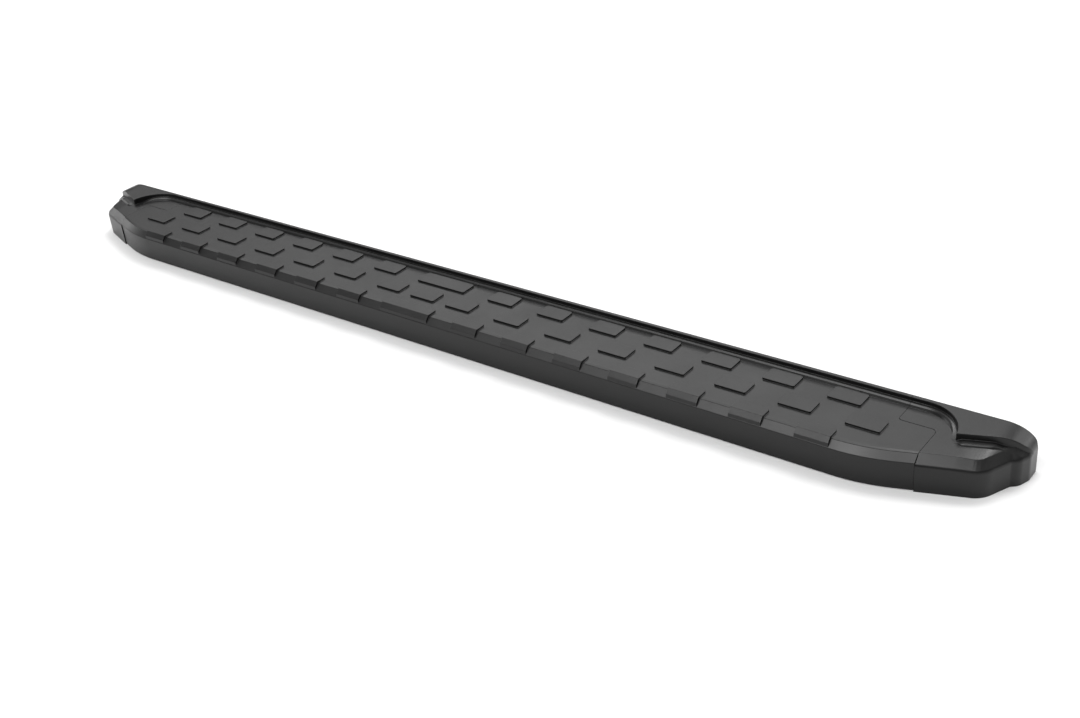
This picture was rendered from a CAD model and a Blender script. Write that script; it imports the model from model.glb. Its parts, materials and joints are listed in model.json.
import json
import math

import bpy
import numpy as np
from mathutils import Euler, Matrix, Vector
from mathutils.geometry import delaunay_2d_cdt


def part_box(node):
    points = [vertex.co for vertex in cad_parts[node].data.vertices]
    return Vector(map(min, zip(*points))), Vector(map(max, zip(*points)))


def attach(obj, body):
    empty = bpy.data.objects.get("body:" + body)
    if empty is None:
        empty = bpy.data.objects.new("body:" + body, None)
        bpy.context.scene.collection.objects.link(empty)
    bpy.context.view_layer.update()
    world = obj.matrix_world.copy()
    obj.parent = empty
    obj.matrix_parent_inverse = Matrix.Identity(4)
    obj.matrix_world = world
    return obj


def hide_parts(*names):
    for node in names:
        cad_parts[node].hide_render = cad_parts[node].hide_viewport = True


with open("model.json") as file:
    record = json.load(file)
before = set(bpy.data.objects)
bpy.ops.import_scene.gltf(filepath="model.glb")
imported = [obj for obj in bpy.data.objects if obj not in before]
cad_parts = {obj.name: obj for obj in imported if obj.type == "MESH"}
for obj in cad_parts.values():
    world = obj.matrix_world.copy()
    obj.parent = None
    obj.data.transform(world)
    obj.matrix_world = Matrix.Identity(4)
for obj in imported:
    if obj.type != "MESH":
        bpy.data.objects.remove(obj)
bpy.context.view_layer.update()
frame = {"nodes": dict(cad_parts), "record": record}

BODY = "board"
MM = 0.001


def box_mm(node):
    """The CAD node's box in millimetres, as its low and high corners."""
    low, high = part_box(node)
    return np.array(low) / MM, np.array(high) / MM


# ---------------------------------------------------------------- sizes, in millimetres
# x runs along the board, y from the outer edge to the vehicle, z up. Both ends are alike, so
# shapes are drawn for the right end and mirrored.

COVER_LOW, COVER_HIGH = box_mm("centre_cover")
CAP_HIGH = box_mm("right_end_cap")[1]

END_X = CAP_HIGH[0]
REAR_Y = COVER_HIGH[1]
RAIL_Z = COVER_HIGH[2]
COVER_FOOT_Z = COVER_LOW[2]
FASCIA_Y = COVER_LOW[1]
DECK_Z = RAIL_Z - 11
WALL = 3
WALL_RISE = 6
REAR_SKIRT_Z, REAR_SKIRT_DEPTH = 24, 10

# Front edge in plan
SWEEP = math.radians(18.7)
SWEEP_X = 741
SWEEP_RADIUS = 250
NOSE_X, NOSE_RADIUS = 884.5, 32
FLANK_KINK = (904, 21, 9)
LOBE_CORNER = (912.5, 27, 16)
END_CORNER_Y, END_CORNER_RADIUS = 45, 16
CAP_PROUD = 1.4

# Rail, ledge and plateau in plan
RAIL_Y = 64
COVE_X, COVE_Y, COVE_RADIUS = 773.5, 3.2, 60.8
CUSP_Y = 11
PLATEAU_ANGLE = math.radians(20.2)
CUSP_ROUND, CUSP_CLEAR = 1.6, 3
COVE_STEPS = 36
END_ROUND, REAR_ROUND = 18, 5
ROLL_X, ROLL_DROP = 877, 26
CAP_ROLL_X, CAP_ROLL_RUN = 841, 35
LEDGE_RISE = 5
REAR_LEDGE = {"z": DECK_Z + LEDGE_RISE, "width": 6, "fade_start": -44, "fade_run": 36}
FRONT_LEDGE = {
    "z": 55.8, "width": 11.5, "grow_start": -2, "grow_run": 10, "fade_start": 42, "fade_run": 20
}
FRONT_LEDGE_NARROWING = 3

# Seam between cover and cap
SEAM_X = COVER_HIGH[0]
SEAM_REAR_X = SEAM_X - 55
SEAM_Y, SEAM_FRONT_Y = 21, -37
SEAM_GAP, SEAM_WIDE_GAP = 0.25, 0.85
SEAM_EDGE = 0.3

# Where lines drawn across the board start and end, clear of its outline
AHEAD_Y, BEHIND_Y = -120, REAR_Y + 20

# Tread
PITCH = 100
PAD_LENGTH, PAD_WIDTH, PAD_RISE = 50, 30, 3
PAD_TOP_Z = DECK_Z + PAD_RISE
PAD_FRONT, PAD_REAR = 2.5, 4.5
PAD_REACH = 4
LUG_START_Y, LUG_TOP_Y = -80, -55
LUG_MARGIN = 1.5
REAR_ROW_Y, MIDDLE_ROW_Y, LUG_Y = 24, -23, -42
REAR_ROW_X = [-705 + PITCH * k for k in range(6)] + [45 + PITCH * k for k in range(7)]
MIDDLE_ROW_X = [-755 + PITCH * k for k in range(7)] + [-80] + [-5 + PITCH * k for k in range(8)]
LONG_PAD_X = -105

# ---------------------------------------------------------------- plane curves


def rounded(points, closed=False, turn=math.radians(9)):
    """Points (x, y, radius), each corner replaced by a tangent arc of its radius."""
    flat = [np.array(p[:2], float) for p in points]
    radii = [p[2] if len(p) > 2 else 0 for p in points]
    line = []
    for i, here in enumerate(flat):
        inside = closed or 0 < i < len(flat) - 1
        if not (radii[i] and inside):
            line.append(here)
            continue
        back = flat[i - 1] - here
        ahead = flat[(i + 1) % len(flat)] - here
        back, ahead = back / np.hypot(*back), ahead / np.hypot(*ahead)
        half = math.acos(np.clip(back @ ahead, -1, 1)) / 2
        bisector = (back + ahead) / np.hypot(*(back + ahead))
        centre = here + bisector * radii[i] / math.sin(half)
        start = here + back * radii[i] / math.tan(half) - centre
        end = here + ahead * radii[i] / math.tan(half) - centre
        sweep = math.atan2(start[0] * end[1] - start[1] * end[0], start @ end)
        steps = max(2, math.ceil(abs(sweep) / turn))
        for k in range(steps + 1):
            c, s = math.cos(sweep * k / steps), math.sin(sweep * k / steps)
            line.append(centre + [c * start[0] - s * start[1], s * start[0] + c * start[1]])
    return np.array(line)


def offset(line, distance, closed=False):
    """The line moved to its left by distance (one number, or one for each point)."""
    before = np.roll(line, 1, axis=0)
    after = np.roll(line, -1, axis=0)
    if not closed:
        before[0], after[-1] = line[0], line[-1]
    a, b = line - before, after - line
    if not closed:
        a[0], b[-1] = b[0], a[-1]
    a = a / np.hypot(*a.T)[:, None]
    b = b / np.hypot(*b.T)[:, None]
    normal = np.stack([-(a + b)[:, 1], (a + b)[:, 0]], axis=1)
    normal = normal / np.hypot(*normal.T)[:, None]
    stretch = np.clip((a * b).sum(1), -0.9, 1)
    reach = np.asarray(distance) / np.sqrt((1 + stretch) / 2)
    return line + normal * np.reshape(reach, (-1, 1))


def nearest(points, line):
    """Signed distance to the line, positive on its left, and the run along it to there."""
    best = np.full(len(points), np.inf)
    side = np.ones(len(points))
    along = np.zeros(len(points))
    run = 0.0
    for a, b in zip(line[:-1], line[1:]):
        d = b - a
        length = np.hypot(*d)
        v = points - a
        t = np.clip(v @ d / length**2, 0, 1)
        w = v - t[:, None] * d
        distance = np.hypot(*w.T)
        closer = distance < best - 1e-9
        best[closer] = distance[closer]
        side[closer] = np.where(d[0] * v[closer, 1] - d[1] * v[closer, 0] >= 0, 1, -1)
        along[closer] = run + t[closer] * length
        run += length
    return best * side, along


def smooth(t):
    """A smooth ramp from 0 at t = 0 to 1 at t = 1."""
    t = np.clip(t, 0, 1)
    return t * t * (3 - 2 * t)


# Front outline of the right half, from the middle of the board: fascia, swept edge, nose, flank.
NOSE_Y = FASCIA_Y + math.tan(SWEEP) * (NOSE_X - SWEEP_X)
FRONT = rounded(
    [
        (0, FASCIA_Y),
        (SWEEP_X, FASCIA_Y, SWEEP_RADIUS),
        (NOSE_X, NOSE_Y, NOSE_RADIUS),
        FLANK_KINK,
        LOBE_CORNER,
        (END_X - CAP_PROUD, END_CORNER_Y, END_CORNER_RADIUS),
        (END_X - CAP_PROUD, REAR_Y + 30),
    ],
    turn=math.radians(2.5),
)

# Rail and plateau outline of the right half: rail wall, cove, cusp, plateau front, end, rear edge.
CUSP_X = COVE_X + math.sqrt(COVE_RADIUS**2 - (CUSP_Y - COVE_Y) ** 2)
COVE_END = math.asin((CUSP_Y + CUSP_CLEAR - COVE_Y) / COVE_RADIUS)
COVE_TURN = np.linspace(math.pi / 2, COVE_END, COVE_STEPS)
COVE = [(COVE_X + COVE_RADIUS * math.cos(a), COVE_Y + COVE_RADIUS * math.sin(a)) for a in COVE_TURN]


def plateau_front(x):
    """Where the plateau's front edge lies at x."""
    return CUSP_Y + math.tan(PLATEAU_ANGLE) * (x - CUSP_X)


PLATEAU = rounded(
    [(0, RAIL_Y), *COVE, (CUSP_X, CUSP_Y, CUSP_ROUND)]
    + [(x, plateau_front(x)) for x in np.arange(CUSP_X + 4, END_X - END_ROUND, 3)]
    + [(END_X, plateau_front(END_X), END_ROUND), (END_X, REAR_Y, REAR_ROUND), (0, REAR_Y)],
    turn=math.radians(10),
)
CUSP_RUN = nearest(np.array([[CUSP_X, CUSP_Y]]), PLATEAU)[1][0]
REAR_RUN = nearest(np.array([[END_X, REAR_Y - 10.0]]), PLATEAU)[1][0]

# Seam of the right half, from the front to the rear, the cover on its left.
SEAM = rounded(
    [
        (SEAM_X, AHEAD_Y),
        (SEAM_X, SEAM_FRONT_Y - 3),
        (SEAM_X, SEAM_FRONT_Y),
        (SEAM_X, SEAM_Y, 8),
        (SEAM_REAR_X, SEAM_Y, 6),
        (SEAM_REAR_X, BEHIND_Y),
    ]
)
# The gap is wide down the front edge and where the seam runs lengthwise.
WIDE = (np.abs(SEAM[:, 1] - SEAM_Y) < 3) & (SEAM[:, 0] < SEAM_X - 3)
WIDE |= SEAM[:, 1] < SEAM_FRONT_Y
CAP_SEAM = offset(SEAM, -np.where(WIDE, SEAM_WIDE_GAP, SEAM_GAP))

# ---------------------------------------------------------------- heights
# Each profile is (distance, height), rounded, and its distances are also where the mesh gets
# its lines.

COVER_EDGE = rounded(
    [(0, 30), (0, 42.3, 2.2), (9.5, 51.7, 0.3), (9.7, 52.3, 0.35), (13.5, DECK_Z, 8), (30, DECK_Z)]
)
CAP_EDGE = rounded([(0, 30), (0, 40, 7.5), (12.6, DECK_Z, 1.4), (30, DECK_Z)])
CAP_END_EDGE = rounded([(0, 20), (0, 39.5, 11), (14, DECK_Z, 26), (34, DECK_Z)])
WALL_STEP = rounded(
    [(-6, WALL_RISE), (0, WALL_RISE, 0.9), (0.45, 0, 0.7), (6, 0)], turn=math.radians(15)
)
LEDGE_FALL = rounded(
    [(-4, LEDGE_RISE), (-0.9, LEDGE_RISE, 0.5), (0.9, 3.2, 0.5), (2.9, 0, 0.5), (14, 0)],
    turn=math.radians(18),
)
PAD_STEP = rounded(
    [(-6, PAD_RISE), (0, PAD_RISE, 0.4), (0.1, 0, 0.6), (6, 0)], turn=math.radians(18)
)
LUG_TOP = rounded(
    [(-69.3, 20), (-69.2, 43), (-68.8, 48.6, 1), (-62.2, PAD_TOP_Z, 1.6), (-30, PAD_TOP_Z)],
    turn=math.radians(14),
)


def profile(distance, curve):
    """Height of a profile at a distance. Where it is upright, its highest point counts."""
    keep = np.append(np.diff(curve[:, 0]) > 1e-6, True)
    return np.interp(distance, curve[keep, 0], curve[keep, 1])


def stops(curve, low, high):
    """The distances between low and high at which a profile bends."""
    inner = curve[(curve[:, 0] > low) & (curve[:, 0] < high), 0]
    return sorted(set(np.round(inner, 3)))


def roll(x):
    """How far the plateau has rolled down at x, towards the end."""
    u = np.clip((x - ROLL_X) / (END_X - ROLL_X), 0, 1)
    return ROLL_DROP * (1 - np.sqrt(1 - u * u))


def ledge_at(along):
    """Height, width and scale of the ledge, by the run along the plateau's outline."""
    past = along - CUSP_RUN
    cove = smooth((past - REAR_LEDGE["fade_start"]) / REAR_LEDGE["fade_run"])
    front = smooth((past - FRONT_LEDGE["grow_start"]) / FRONT_LEDGE["grow_run"])
    end = smooth((past - FRONT_LEDGE["fade_start"]) / FRONT_LEDGE["fade_run"])
    rise = LEDGE_RISE * (1 - cove) + (FRONT_LEDGE["z"] - DECK_Z) * front * (1 - end)
    width = REAR_LEDGE["width"] + (FRONT_LEDGE["width"] - REAR_LEDGE["width"]) * front
    return DECK_Z + rise, width - FRONT_LEDGE_NARROWING * end, np.clip(rise / LEDGE_RISE, 0.4, 1)


def pad_list():
    """Every pad and lug as (x0, x1, y0, y1)."""
    pads = [(x, x + PAD_LENGTH, REAR_ROW_Y) for x in REAR_ROW_X]
    pads += [(x, x + PAD_LENGTH, MIDDLE_ROW_Y) for x in MIDDLE_ROW_X]
    pads += [(LONG_PAD_X, LONG_PAD_X + 2 * PAD_LENGTH, REAR_ROW_Y)]
    lugs = [(x, x + PAD_LENGTH) for x in REAR_ROW_X] + [(LONG_PAD_X, LONG_PAD_X + 2 * PAD_LENGTH)]
    pads = [(a, b, y, y + PAD_WIDTH) for a, b, y in pads]
    return pads, [(a, b, LUG_START_Y, LUG_Y) for a, b in lugs]


PADS, LUGS = pad_list()


def pad_loop(x0, x1, y0, y1, grow=0):
    """The pad's outline, grown by some distance, as a closed line run anticlockwise."""
    front = 0 if y0 == LUG_START_Y else PAD_FRONT
    corners = [(x0, y0, front), (x1, y0, front), (x1, y1, PAD_REAR), (x0, y1, PAD_REAR)]
    loop = rounded(corners, closed=True, turn=math.radians(15))
    return offset(loop, -grow, closed=True)


def base_height(points, cap):
    """Height of the deck, edge, ledge, rail and plateau, without the tread."""
    x = np.abs(points[:, 0])
    folded = np.stack([x, points[:, 1]], axis=1)
    inward, _ = nearest(folded, FRONT)
    beyond, along = nearest(folded, PLATEAU)
    beyond = -beyond
    if cap:
        end = smooth((x - CAP_ROLL_X) / CAP_ROLL_RUN)
        z = profile(inward + CAP_PROUD, CAP_EDGE) * (1 - end)
        z += profile(inward + CAP_PROUD, CAP_END_EDGE) * end
    else:
        z = profile(inward, COVER_EDGE)
    ledge_z, width, scale = ledge_at(along)
    fall = profile((beyond - width) / scale, LEDGE_FALL) / LEDGE_RISE
    z = z + (ledge_z - DECK_Z) * fall
    top = RAIL_Z - roll(x)
    step = profile(beyond, WALL_STEP) / WALL_RISE
    return np.where(step > 0, z + (top - z) * step, z)


def add_pads(points, z):
    """Raises the pads and lugs out of the cover."""
    z = z.copy()
    for pad in PADS + LUGS:
        x0, x1, y0, y1 = pad
        near = (points[:, 0] > x0 - PAD_REACH) & (points[:, 0] < x1 + PAD_REACH)
        near &= (points[:, 1] > y0 - PAD_REACH) & (points[:, 1] < y1 + PAD_REACH)
        spots = points[near]
        loop = pad_loop(*pad)
        distance, _ = nearest(spots, np.vstack([loop, loop[:1]]))
        step = profile(-distance, PAD_STEP) / PAD_RISE
        top = profile(spots[:, 1], LUG_TOP) if y1 == LUG_Y else PAD_TOP_Z
        z[near] += np.maximum(top - z[near], 0) * step
    return z


# ---------------------------------------------------------------- meshes

POST_SIDES = 32
SHARP_ANGLE = math.radians(32)
LARGE_FACE_WEIGHT = 80


def mesh_object(name, verts_mm, faces):
    """A mesh from points in millimetres, put in the scene."""
    mesh = bpy.data.meshes.new(name)
    mesh.from_pydata((np.asarray(verts_mm) * MM).tolist(), [], [list(map(int, f)) for f in faces])
    mesh.validate()
    obj = bpy.data.objects.new(name, mesh)
    bpy.context.scene.collection.objects.link(obj)
    return obj


def triangulated(lines, inside):
    """Plane triangles that keep every line, where inside(points) is true."""
    points, edges = [], []
    for line, closed in lines:
        first = len(points)
        points += [Vector(p) for p in line]
        last = len(points) - 1
        edges += [(i, i + 1) for i in range(first, last)]
        if closed:
            edges.append((last, first))
    verts, _, faces = delaunay_2d_cdt(points, edges, [], 0, 1e-4)[:3]
    flat = np.array([v[:] for v in verts])
    faces = np.array(faces)
    faces = faces[inside(flat[faces].mean(axis=1))]
    used, faces = np.unique(faces, return_inverse=True)
    return flat[used], faces.reshape(-1, 3)


def block_from_top(name, flat, faces, z, foot):
    """A closed block under a height field: its top, upright sides and a level foot."""
    count = len(flat)
    top = np.column_stack([flat, z])
    bottom = np.column_stack([flat, np.full(count, foot)])
    edges = {}
    for face in faces:
        for k in range(3):
            a, b = face[k], face[(k + 1) % 3]
            edges[(a, b)] = edges.get((a, b), 0) + 1
    rim = [(a, b) for a, b in edges if (b, a) not in edges]
    sides = [(b, a, a + count, b + count) for a, b in rim]
    everything = [tuple(f) for f in faces] + [tuple(f[::-1] + count) for f in faces] + sides
    return mesh_object(name, np.vstack([top, bottom]), everything)


def stack(name, rings):
    """A closed solid through rings [(outline, height)], all with as many points."""
    count = len(rings[0][0])
    verts = [np.column_stack([line, np.broadcast_to(z, count)]) for line, z in rings]
    faces = [tuple(range(count))[::-1]]
    for level in range(len(rings) - 1):
        low, high = level * count, (level + 1) * count
        for k in range(count):
            n = (k + 1) % count
            faces.append((low + k, low + n, high + n, high + k))
    faces.append(tuple(range((len(rings) - 1) * count, len(rings) * count)))
    return mesh_object(name, np.vstack(verts), faces)


def bar(name, section, x0, x1):
    """A cross-section (y, z), run anticlockwise, drawn out along x."""
    section = np.asarray(section, float)[:, :2]
    count = len(section)
    verts = [(x, y, z) for x in (x0, x1) for y, z in section]
    faces = [tuple(range(count))[::-1], tuple(range(count, 2 * count))]
    faces += [(k, (k + 1) % count, (k + 1) % count + count, k + count) for k in range(count)]
    return mesh_object(name, verts, faces)


def brick(name, x0, x1, y0, y1, z0, z1):
    """A rectangular block."""
    return bar(name, [(y0, z0), (y1, z0), (y1, z1), (y0, z1)], x0, x1)


def post(name, x, y, radius, z0, z1):
    """An upright cylinder."""
    turns = np.linspace(0, 2 * math.pi, POST_SIDES, endpoint=False)
    ring = np.column_stack([x + radius * np.cos(turns), y + radius * np.sin(turns)])
    return stack(name, [(ring, z0), (ring, z1)])


def combined(base, steps):
    """Base with each (operation, object) done in turn; the tools are removed afterwards."""
    for operation, tool in steps:
        modifier = base.modifiers.new("combine", "BOOLEAN")
        modifier.operation = operation
        modifier.solver = "MANIFOLD"
        modifier.object = tool
        graph = bpy.context.evaluated_depsgraph_get()
        mesh = bpy.data.meshes.new_from_object(base.evaluated_get(graph))
        base.modifiers.clear()
        old, base.data = base.data, mesh
        bpy.data.meshes.remove(old)
        bpy.data.objects.remove(tool)
    base.data.name = base.name
    return base


def soften(obj):
    """Smooth shading, with sharp edges kept where faces meet at more than SHARP_ANGLE."""
    mesh = obj.data
    mesh.polygons.foreach_set("use_smooth", [True] * len(mesh.polygons))
    mesh.set_sharp_from_angle(angle=SHARP_ANGLE)
    modifier = obj.modifiers.new("normals", "WEIGHTED_NORMAL")
    modifier.keep_sharp = True
    modifier.weight = LARGE_FACE_WEIGHT
    return obj


# ---------------------------------------------------------------- tread cover

# How far each profile's bends are followed by lines of the mesh
EDGE_REACH, WALL_REACH = (0, 28), (-5, 5)
LEDGE_REACH, PAD_STEP_REACH = (-3, 13), (-2.5, 3)

# The seam's rounded edge: where its lines lie, and how deep it goes for its width
SEAM_LINES = (0, 0.1, 0.25, SEAM_EDGE)
SEAM_DEPTH = 0.8


def both_ways(line):
    """A line of the right half and its mirror image."""
    return [line, line * [-1, 1]]


def front_lines(curve, proud=0):
    """Lines of the front edge, one at each bend of its profile."""
    return [offset(FRONT, distance - proud) for distance in [0, *stops(curve, *EDGE_REACH)]]


def plateau_lines():
    """Lines of the rail wall and ledge, one at each bend of their profiles."""
    _, along = nearest(PLATEAU, PLATEAU)
    facing = along < REAR_RUN
    _, width, scale = ledge_at(along)
    lines = [PLATEAU]
    for distance in stops(WALL_STEP, *WALL_REACH):
        lines.append(offset(PLATEAU, -distance))
    for distance in stops(LEDGE_FALL, *LEDGE_REACH):
        lines.append(offset(PLATEAU, -(width + distance * scale))[facing])
    return lines


def seam_lines(line, side):
    """The seam and the lines of its rounded edge; side is 1 for the cover, -1 for the cap."""
    return [offset(line, side * d) for d in SEAM_LINES]


def seam_drop(points, line, side):
    """How far the surface rolls off at the seam."""
    folded = np.stack([np.abs(points[:, 0]), points[:, 1]], axis=1)
    inside = np.clip(nearest(folded, line)[0] * side / SEAM_EDGE, 0, 1)
    return SEAM_EDGE * SEAM_DEPTH * (1 - np.sqrt(1 - (1 - inside) ** 2))


def cover_solid():
    """The cover as a block, before it is hollowed."""
    lines = []
    for half in front_lines(COVER_EDGE):
        lines += [(line, False) for line in both_ways(half)]
    for half in plateau_lines():
        lines += [(line, False) for line in both_ways(half)]
    for half in seam_lines(SEAM, 1):
        lines += [(line, False) for line in both_ways(half)]
    for pad in PADS + LUGS:
        for grow in stops(PAD_STEP, *PAD_STEP_REACH):
            lines.append((pad_loop(*pad, grow), True))
    lug_rows = stops(LUG_TOP, FASCIA_Y, LUG_TOP_Y)
    for x0, x1, _, _ in LUGS:
        ends = (x0 - LUG_MARGIN, x1 + LUG_MARGIN)
        lines += [(np.array([(x, y) for x in ends]), False) for y in lug_rows]

    def inside(points):
        folded = np.stack([np.abs(points[:, 0]), points[:, 1]], axis=1)
        within = (nearest(folded, FRONT)[0] > 0) & (nearest(folded, SEAM)[0] > 0)
        return within & (points[:, 1] < REAR_Y)

    flat, faces = triangulated(lines, inside)
    z = add_pads(flat, base_height(flat, cap=False)) - seam_drop(flat, SEAM, 1)
    return block_from_top("tread_cover", flat, faces, z, COVER_FOOT_Z)


# Rooms inside the mouldings
BELOW_Z = -20
REAR_ROOM_Y, RAIL_ROOM_Y = 20, RAIL_Y - WALL
COVER_ROOM = {"edge_z": 42.5, "rear_y": 50, "x_from": -1}
CAP_ROOM = {"edge_z": 36, "rear_y": REAR_Y - WALL, "x_from": 700}
PAST_COVER_X = 850
UNDER_SKIRT = (REAR_Y - REAR_SKIRT_DEPTH, BEHIND_Y, BELOW_Z, REAR_SKIRT_Z)
UNDER_CAP_REAR = (0, BEHIND_Y, BELOW_Z, REAR_SKIRT_Z)
REAR_HOLLOW = [
    (REAR_ROOM_Y, BELOW_Z),
    (REAR_Y - WALL, BELOW_Z),
    (REAR_Y - WALL, REAR_LEDGE["z"] - WALL),
    (RAIL_ROOM_Y, REAR_LEDGE["z"] - WALL),
    (RAIL_ROOM_Y, DECK_Z - WALL),
    (REAR_ROOM_Y, DECK_Z - WALL),
]


def tray_hollow(name, proud, edge_z, rear_y, x_from):
    """The room under the front edge, WALL in from the outside."""
    slope = WALL * (2 - math.sqrt(2))
    chamfer = DECK_Z - edge_z
    outer = offset(FRONT, WALL - proud)
    top = offset(FRONT, WALL - proud + chamfer - slope)
    keep = (outer[:, 0] >= x_from) & (outer[:, 1] < rear_y - 1)
    corners = np.array([[outer[keep][-1, 0], rear_y], [x_from, rear_y]])
    start = np.array([[x_from, outer[keep][0, 1]]])
    top_start = np.array([[x_from, top[keep][0, 1]]])
    top_corners = np.array([[top[keep][-1, 0], rear_y], [x_from, rear_y]])
    low = np.vstack([start, outer[keep], corners])
    high = np.vstack([top_start, top[keep], top_corners])
    rings = [(low, BELOW_Z), (low, edge_z + slope - WALL), (high, DECK_Z - WALL)]
    return stack(name, rings)


def mirror_of(obj, name):
    """A copy of the object on the other end of the board."""
    mesh = obj.data.copy()
    mesh.transform(Matrix.Diagonal((-1, 1, 1, 1)))
    mesh.flip_normals()
    copy = bpy.data.objects.new(name, mesh)
    bpy.context.scene.collection.objects.link(copy)
    return copy


# Screw bosses under the cover
SCREW_X = [-680, -340, 0, 340, 680]
SCREW_FRONT_Y, SCREW_REAR_Y = -57, 60
FLANGE_TOP_Z = 33
BOSS_RADIUS, BOSS_OVERLAP = 4, 2
PILOT_RADIUS, PILOT_LOW_Z, PILOT_TOP_Z = 2.3, 30, 46


def make_cover():
    """The hollow cover with its screw bosses and their pilot holes."""
    cover = cover_solid()
    hollow = tray_hollow("front_hollow", 0, **COVER_ROOM)
    steps = [
        ("DIFFERENCE", mirror_of(hollow, "front_hollow_left")),
        ("DIFFERENCE", hollow),
        ("DIFFERENCE", bar("rear_hollow", REAR_HOLLOW, -PAST_COVER_X, PAST_COVER_X)),
        ("DIFFERENCE", brick("under_skirt", -END_X, END_X, *UNDER_SKIRT)),
    ]
    for x in SCREW_X:
        for y, roof in ((SCREW_FRONT_Y, DECK_Z), (SCREW_REAR_Y, REAR_LEDGE["z"])):
            boss = post("boss", x, y, BOSS_RADIUS, FLANGE_TOP_Z, roof - BOSS_OVERLAP)
            pilot = post("pilot", x, y, PILOT_RADIUS, PILOT_LOW_Z, PILOT_TOP_Z)
            steps += [("UNION", boss), ("DIFFERENCE", pilot)]
    return combined(cover, steps)


# ---------------------------------------------------------------- end caps

# Extra lines across the cap, closer together where the plateau rolls down
SLICE_X, SLICE_STEP, SLICE_FRONT_Y = SEAM_X + 43, 4, -60
ROLL_TURNS = np.radians(np.arange(5, 90, 5))

# Wall across the cap, and the tongues and stops on it that reach into the core's chambers
BULKHEAD_X = SEAM_X + 6
BULKHEAD = [(-42, 8), (REAR_Y - 1, 8), (REAR_Y - 1, DECK_Z - 1), (-30, DECK_Z - 1), (-42, 40)]
TONGUE_X, TONGUE_LOW_Z, TONGUE_HIGH_Z = 700, 25, 38
TONGUES = {"front_tongue": (-41, -32), "rear_tongue": (36.3, 49)}
STOP_X, STOP_HIGH_Z = 735, 31
STOPS = {"front_stop": (-28, -16), "rear_stop": (20, 32)}
CAP_SCREW_X, CAP_PILOT_LOW_Z, CAP_PILOT_HIGH_Z = 722, 20, 37
CAP_PILOTS = {"front_pilot": -36.5, "rear_pilot": 42.5}
PLATEAU_ROOM_X = COVE_X + 22
PLATEAU_ROOF_EXTRA = 0.5


def cap_solid():
    """The right cap as a block, before it is hollowed."""
    lines = [(line, False) for line in front_lines(CAP_EDGE, CAP_PROUD)]
    lines += [(line, False) for line in plateau_lines()]
    lines += [(line, False) for line in seam_lines(CAP_SEAM, -1)]
    slices = np.arange(SLICE_X, ROLL_X, SLICE_STEP)
    slices = np.append(slices, ROLL_X + (END_X - ROLL_X) * np.sin(ROLL_TURNS))
    lines += [(np.array([(x, SLICE_FRONT_Y), (x, BEHIND_Y)]), False) for x in slices]

    def inside(points):
        within = nearest(points, FRONT)[0] > -CAP_PROUD
        within |= nearest(points, PLATEAU)[0] > 0
        beyond_seam = nearest(points, CAP_SEAM)[0] < 0
        return within & beyond_seam & (points[:, 1] < REAR_Y) & (points[:, 0] < END_X)

    flat, faces = triangulated(lines, inside)
    z = base_height(flat, cap=True) - seam_drop(flat, CAP_SEAM, -1)
    return block_from_top("right_cap", flat, faces, z, 0)


def plateau_hollow():
    """The room under the plateau. Its roof is one face that follows the roll at its rim."""
    inner = offset(PLATEAU, WALL)
    keep = (inner[:, 0] > PLATEAU_ROOM_X) & (inner[:, 1] < REAR_Y - WALL + 0.1)
    line = inner[keep]
    line = np.vstack([line, [[line[0, 0], REAR_Y - WALL]]])[::-1]
    roof = RAIL_Z - WALL - roll(line[:, 0]) - PLATEAU_ROOF_EXTRA
    return stack("plateau_hollow", [(line, BELOW_Z), (line, roof)])


def make_cap():
    """The hollow right cap with its wall, tongues, stops and pilot holes."""
    cap = cap_solid()
    wall = BULKHEAD_X + 1
    steps = [
        ("DIFFERENCE", tray_hollow("cap_hollow", CAP_PROUD, **CAP_ROOM)),
        ("DIFFERENCE", plateau_hollow()),
        ("DIFFERENCE", bar("cap_rear_hollow", REAR_HOLLOW, CAP_ROOM["x_from"], COVE_X)),
        ("DIFFERENCE", brick("under_rear", CAP_ROOM["x_from"], BULKHEAD_X, *UNDER_CAP_REAR)),
        ("UNION", bar("bulkhead", BULKHEAD, BULKHEAD_X, BULKHEAD_X + WALL)),
    ]
    for name, (y0, y1) in TONGUES.items():
        steps.append(("UNION", brick(name, TONGUE_X, wall, y0, y1, TONGUE_LOW_Z, TONGUE_HIGH_Z)))
    for name, (y0, y1) in STOPS.items():
        steps.append(("UNION", brick(name, STOP_X, wall, y0, y1, TONGUE_LOW_Z, STOP_HIGH_Z)))
    for name, y in CAP_PILOTS.items():
        hole = post(name, CAP_SCREW_X, y, PILOT_RADIUS, CAP_PILOT_LOW_Z, CAP_PILOT_HIGH_Z)
        steps.append(("DIFFERENCE", hole))
    return combined(cap, steps)


# ---------------------------------------------------------------- materials


def mapped(tree, source, low, high, to_low, to_high):
    """A node that maps a value from one range onto another."""
    node = tree.nodes.new("ShaderNodeMapRange")
    node.inputs["From Min"].default_value = low
    node.inputs["From Max"].default_value = high
    node.inputs["To Min"].default_value = to_low
    node.inputs["To Max"].default_value = to_high
    tree.links.new(source, node.inputs["Value"])
    return node.outputs["Result"]


def noise(tree, place, scale, detail):
    """A noise texture at a place, in features per metre."""
    node = tree.nodes.new("ShaderNodeTexNoise")
    node.inputs["Scale"].default_value = scale
    node.inputs["Detail"].default_value = detail
    tree.links.new(place, node.inputs["Vector"])
    return node.outputs["Fac"]


def bumped(tree, height, strength, depth):
    """Bumps the surface by a height."""
    node = tree.nodes.new("ShaderNodeBump")
    node.inputs["Strength"].default_value = strength
    node.inputs["Distance"].default_value = depth
    tree.links.new(height, node.inputs["Height"])
    tree.links.new(node.outputs["Normal"], tree.nodes["Principled BSDF"].inputs["Normal"])


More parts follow.
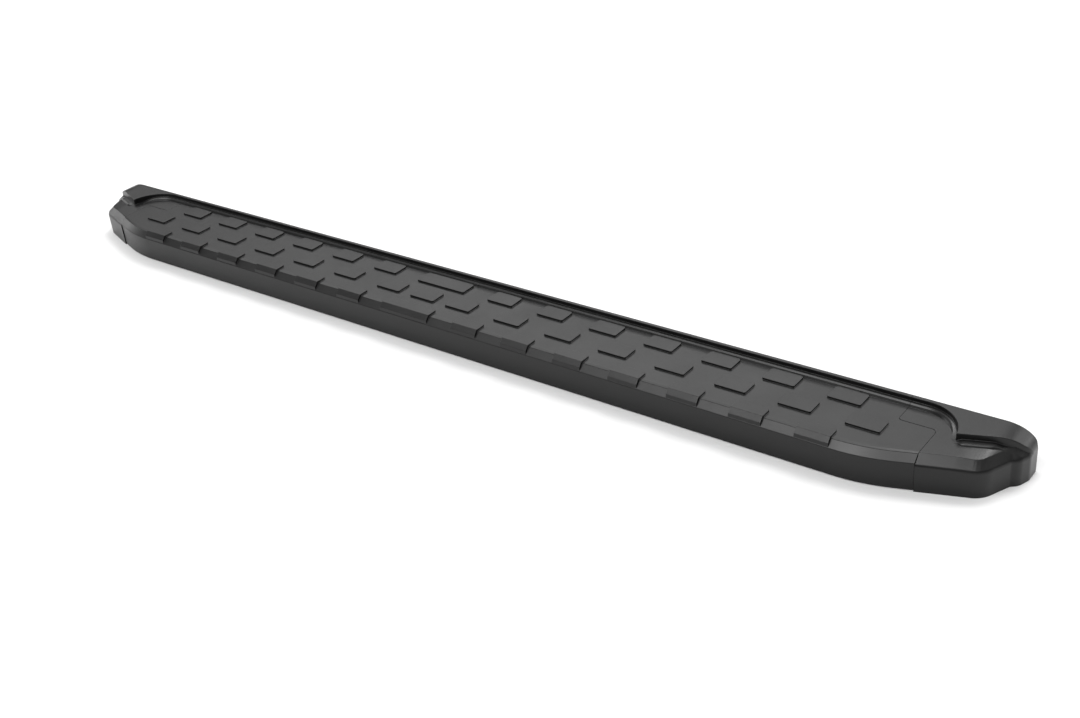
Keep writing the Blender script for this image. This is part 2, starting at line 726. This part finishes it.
def new_material(name):
    """A material's node tree, its shader and the object's own coordinates."""
    material = bpy.data.materials.new(name)
    material.use_nodes = True
    tree = material.node_tree
    place = tree.nodes.new("ShaderNodeTexCoord").outputs["Object"]
    return material, tree, tree.nodes["Principled BSDF"], place


def grained_plastic(name, tone, roughness):
    """Moulded plastic: faint mottled tone and a fine spark-eroded grain."""
    material, tree, shader, place = new_material(name)
    shader.inputs["Specular IOR Level"].default_value = 0.36
    grain = noise(tree, place, 1400, 3)
    cloud = noise(tree, place, 14, 4)
    colour = mapped(tree, cloud, 0.3, 0.7, tone * 0.88, tone * 1.12)
    tree.links.new(colour, shader.inputs["Base Color"])
    sheen = mapped(tree, cloud, 0.25, 0.75, roughness - 0.05, roughness + 0.05)
    tree.links.new(sheen, shader.inputs["Roughness"])
    bumped(tree, grain, 0.25, 0.0002)
    return material


def worked_metal(name, dark, light, roughness, grain, stretch=(1, 1, 1)):
    """Metal with a mottled tone; stretch below 1 draws its grain out along that axis."""
    material, tree, shader, place = new_material(name)
    shader.inputs["Metallic"].default_value = 1
    drawn = tree.nodes.new("ShaderNodeMapping")
    drawn.inputs["Scale"].default_value = stretch
    tree.links.new(place, drawn.inputs["Vector"])
    lines = noise(tree, drawn.outputs["Vector"], grain, 4)
    cloud = noise(tree, place, 45, 3)
    tone = tree.nodes.new("ShaderNodeMix")
    tone.data_type = "RGBA"
    tone.inputs["A"].default_value = (*dark, 1)
    tone.inputs["B"].default_value = (*light, 1)
    tree.links.new(mapped(tree, cloud, 0.3, 0.7, 0, 1), tone.inputs["Factor"])
    tree.links.new(tone.outputs["Result"], shader.inputs["Base Color"])
    wear = mapped(tree, lines, 0.3, 0.7, roughness - 0.07, roughness + 0.07)
    tree.links.new(wear, shader.inputs["Roughness"])
    bumped(tree, lines, 0.3, 0.00005)
    return material


def dress(obj, material):
    """Gives the object a material."""
    obj.data.materials.clear()
    obj.data.materials.append(material)


# ---------------------------------------------------------------- the object

PLASTIC_TONE, PLASTIC_ROUGHNESS = 0.0045, 0.32
BRUSHED_ALONG_X = (0.01, 1, 1)

cover_plastic = grained_plastic("cover_plastic", PLASTIC_TONE, PLASTIC_ROUGHNESS)
cap_plastic = grained_plastic("cap_plastic", PLASTIC_TONE, PLASTIC_ROUGHNESS)
core_metal = worked_metal(
    "core_aluminium", (0.62, 0.63, 0.64), (0.74, 0.75, 0.76), 0.36, 900, BRUSHED_ALONG_X
)
zinc = worked_metal("zinc_steel", (0.55, 0.56, 0.58), (0.7, 0.7, 0.69), 0.3, 1600)
black_steel = worked_metal("black_steel", (0.03, 0.03, 0.031), (0.07, 0.07, 0.072), 0.42, 1600)

cover = soften(make_cover())
dress(cover, cover_plastic)
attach(cover, BODY)
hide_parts("centre_cover")

right_cap = make_cap()
left_cap = soften(mirror_of(right_cap, "left_cap"))
soften(right_cap)
for side, cap in (("left", left_cap), ("right", right_cap)):
    dress(cap, cap_plastic)
    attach(cap, BODY)
    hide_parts(f"{side}_end_cap")

# The core and the hardware keep their CAD shapes and get a look and slightly broken edges.
SLOT_LOOK = {"core_aluminium": core_metal, "zinc_steel": zinc, "black_steel": black_steel}
EDGE_WIDTH = {"core_aluminium": 0.25, "zinc_steel": 0.2, "black_steel": 0.2}
EDGE_ANGLE = math.radians(35)
NODE_SLOT = {row["node"]: row["material_slot"] for row in frame["record"]["subparts"]}
for name, node in frame["nodes"].items():
    slot = NODE_SLOT[name]
    if slot not in SLOT_LOOK:
        continue
    dress(node, SLOT_LOOK[slot])
    bevel = node.modifiers.new("edge", "BEVEL")
    bevel.width = EDGE_WIDTH[slot] * MM
    bevel.segments = 2
    bevel.limit_method = "ANGLE"
    bevel.angle_limit = EDGE_ANGLE

# ---------------------------------------------------------------- camera, floor and light

CAMERA_PLACE = (1.3841, -1.4382, 1.0840)
CAMERA_AZIMUTH, CAMERA_ELEVATION, CAMERA_ROLL = 40.32, 30.10, -6.01
LENS, SENSOR = 46.39, 36

camera_data = bpy.data.cameras.new("camera")
camera_data.lens, camera_data.sensor_width = LENS, SENSOR
camera = bpy.data.objects.new("camera", camera_data)
bpy.context.scene.collection.objects.link(camera)
look = Euler((math.radians(90 - CAMERA_ELEVATION), 0, math.radians(CAMERA_AZIMUTH))).to_matrix()
tilt = Matrix.Rotation(math.radians(CAMERA_ROLL), 3, "Z")
camera.matrix_world = Matrix.Translation(CAMERA_PLACE) @ (look @ tilt).to_4x4()
bpy.context.scene.camera = camera

FLOOR_HALF, FLOOR_SHADE = 12000, 0.76

floor_material = bpy.data.materials.new("floor")
floor_material.use_nodes = True
shader = floor_material.node_tree.nodes["Principled BSDF"]
shader.inputs["Base Color"].default_value = (FLOOR_SHADE, FLOOR_SHADE, FLOOR_SHADE, 1)
shader.inputs["Roughness"].default_value = 1
corners = [(-1, -1, 0), (1, -1, 0), (1, 1, 0), (-1, 1, 0)]
floor = mesh_object("floor", np.array(corners) * FLOOR_HALF, [(0, 1, 2, 3)])
floor.data.materials.append(floor_material)


def sun(name, azimuth, elevation, spread, strength):
    """Light from far away, soft as if from a round panel that spreads over so many degrees."""
    data = bpy.data.lights.new(name, "SUN")
    data.energy = strength
    data.angle = math.radians(spread)
    light = bpy.data.objects.new(name, data)
    bpy.context.scene.collection.objects.link(light)
    a, e = math.radians(azimuth), math.radians(elevation)
    way = Vector((math.cos(a) * math.cos(e), math.sin(a) * math.cos(e), math.sin(e)))
    light.matrix_world = way.to_track_quat("Z", "Y").to_matrix().to_4x4()


sun("rear_light", 131, 49, 50, 1.03)
sun("high_light", 92, 60, 20, 1.0)
sun("front_light", 244, 50, 27, 1.17)
sun("end_light", 65, 30, 34, 0.55)
sun("left_light", 183, 13, 20, 0.3)
sun("nose_light", 285, 56, 24, 0.7)
sun("side_light", 48, 16, 26, 0.3)

# A white sky, darker towards the horizon
SKY_LOW, SKY_HIGH = 0.05, 0.75
SKY_DARK, SKY_LIGHT = 0.05, 0.62

world = bpy.data.worlds.new("studio")
world.use_nodes = True
sky = world.node_tree
sky_place = sky.nodes.new("ShaderNodeTexCoord")
sky_height = sky.nodes.new("ShaderNodeSeparateXYZ")
sky.links.new(sky_place.outputs["Generated"], sky_height.inputs["Vector"])
sky_level = mapped(sky, sky_height.outputs["Z"], SKY_LOW, SKY_HIGH, SKY_DARK, SKY_LIGHT)
sky.links.new(sky_level, sky.nodes["Background"].inputs["Strength"])
sky.nodes["Background"].inputs["Color"].default_value = (1, 1, 1, 1)
bpy.context.scene.world = world
bpy.context.scene.view_settings.view_transform = "Standard"
